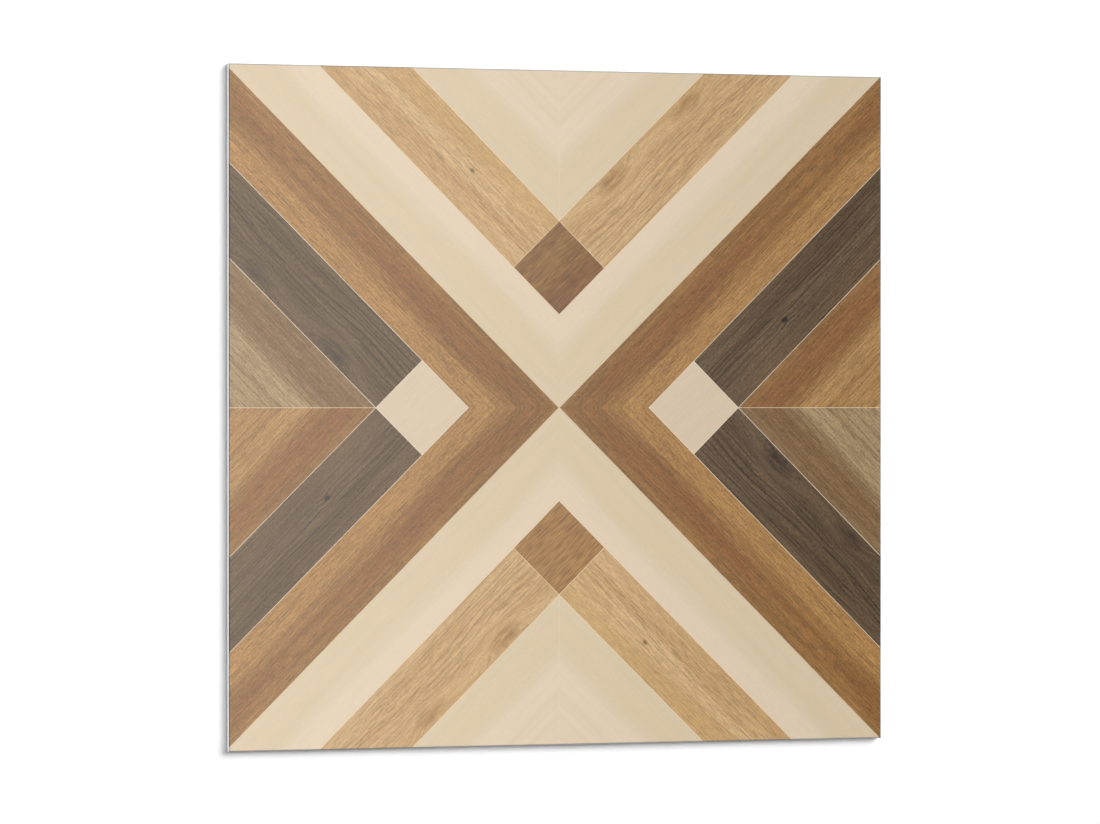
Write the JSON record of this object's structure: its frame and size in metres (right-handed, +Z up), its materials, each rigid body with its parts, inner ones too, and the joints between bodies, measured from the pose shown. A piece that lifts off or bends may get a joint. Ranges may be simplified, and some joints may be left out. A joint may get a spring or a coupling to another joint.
{
  "type": "vinyl floor tile",
  "caption": "Square vinyl floor tile with a mitred wood parquet print, straight cut sides and a fine bevel round its face; it lies flat and butts against its neighbours.",
  "frame": {"origin": "middle of the underside, on the level the tile lies on", "axes": "+Z up out of the printed face; +X and +Y along the cut sides, +Y towards the side that is at the top in the picture"},
  "size_m": [0.3048, 0.3048, 0.0045],
  "materials": {
    "printed_vinyl": "satin wear layer over a wood parquet print"
  },
  "bodies": {
    "root": {"floor_tile": "printed_vinyl"}
  },
  "joints": []
}
